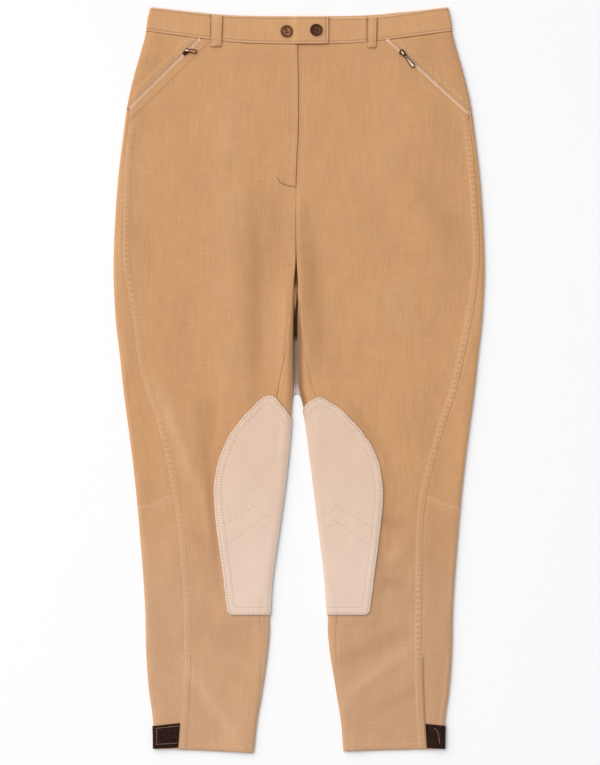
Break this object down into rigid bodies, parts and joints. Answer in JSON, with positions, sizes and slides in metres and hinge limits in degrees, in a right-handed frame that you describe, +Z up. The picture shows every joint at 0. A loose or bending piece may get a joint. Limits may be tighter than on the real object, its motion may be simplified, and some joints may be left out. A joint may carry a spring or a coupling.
{
  "type": "riding breeches",
  "caption": "Close-fitting riding breeches laid flat, with waistband, belt loops, slanted zip pockets, suede knee patches and slit hems.",
  "frame": {"origin": "on the surface the garment lies on, under the middle of its outline", "axes": "+X the wearer's left, +Y up the garment to the waist, +Z up from the surface, the front facing up"},
  "size_m": [0.482, 0.9687, 0.0104],
  "materials": {
    "cotton_twill": "matt stretch cotton twill, tan",
    "band_twill": "matt stretch cotton twill, tan, double and topstitched",
    "knee_suede": "brushed suede, pale pinkish cream",
    "zip_tape": "woven zip tape, cream",
    "antique_brass": "antique brass, darkened",
    "button_horn": "horn brown, satin",
    "hook_and_loop": "dark brown napped tape"
  },
  "bodies": {
    "garment": {"back_left": "cotton_twill", "back_right": "cotton_twill", "belt_loop_back_centre": "band_twill", "belt_loop_back_left": "band_twill", "belt_loop_back_right": "band_twill", "belt_loop_front_left": "band_twill", "belt_loop_front_right": "band_twill", "button_band": "button_horn", "button_tab": "button_horn", "calf_left": "cotton_twill", "calf_right": "cotton_twill", "front_left": "cotton_twill", "front_right": "cotton_twill", "hem_tab_left": "hook_and_loop", "hem_tab_right": "hook_and_loop", "hip_left": "cotton_twill", "hip_right": "cotton_twill", "knee_patch_left": "knee_suede", "knee_patch_right": "knee_suede", "waistband_left": "band_twill", "waistband_right": "band_twill", "zip_slider_left": "antique_brass", "zip_slider_right": "antique_brass", "zip_tape_left": "zip_tape", "zip_tape_right": "zip_tape"},
    "pull_right": {"pull_tab_right": "antique_brass"},
    "pull_left": {"pull_tab_left": "antique_brass"}
  },
  "joints": [
    {"name": "pull_right_hinge", "type": "hinge", "parent": "garment", "child": "pull_right", "pos_m": [-0.14499, 0.42774, 0.00825], "axis": [0, -1, 0], "range_deg": [0, 150]},
    {"name": "pull_left_hinge", "type": "hinge", "parent": "garment", "child": "pull_left", "pos_m": [0.13478, 0.42434, 0.00825], "axis": [-0.788, -0.6157, 0], "range_deg": [0, 150]}
  ]
}
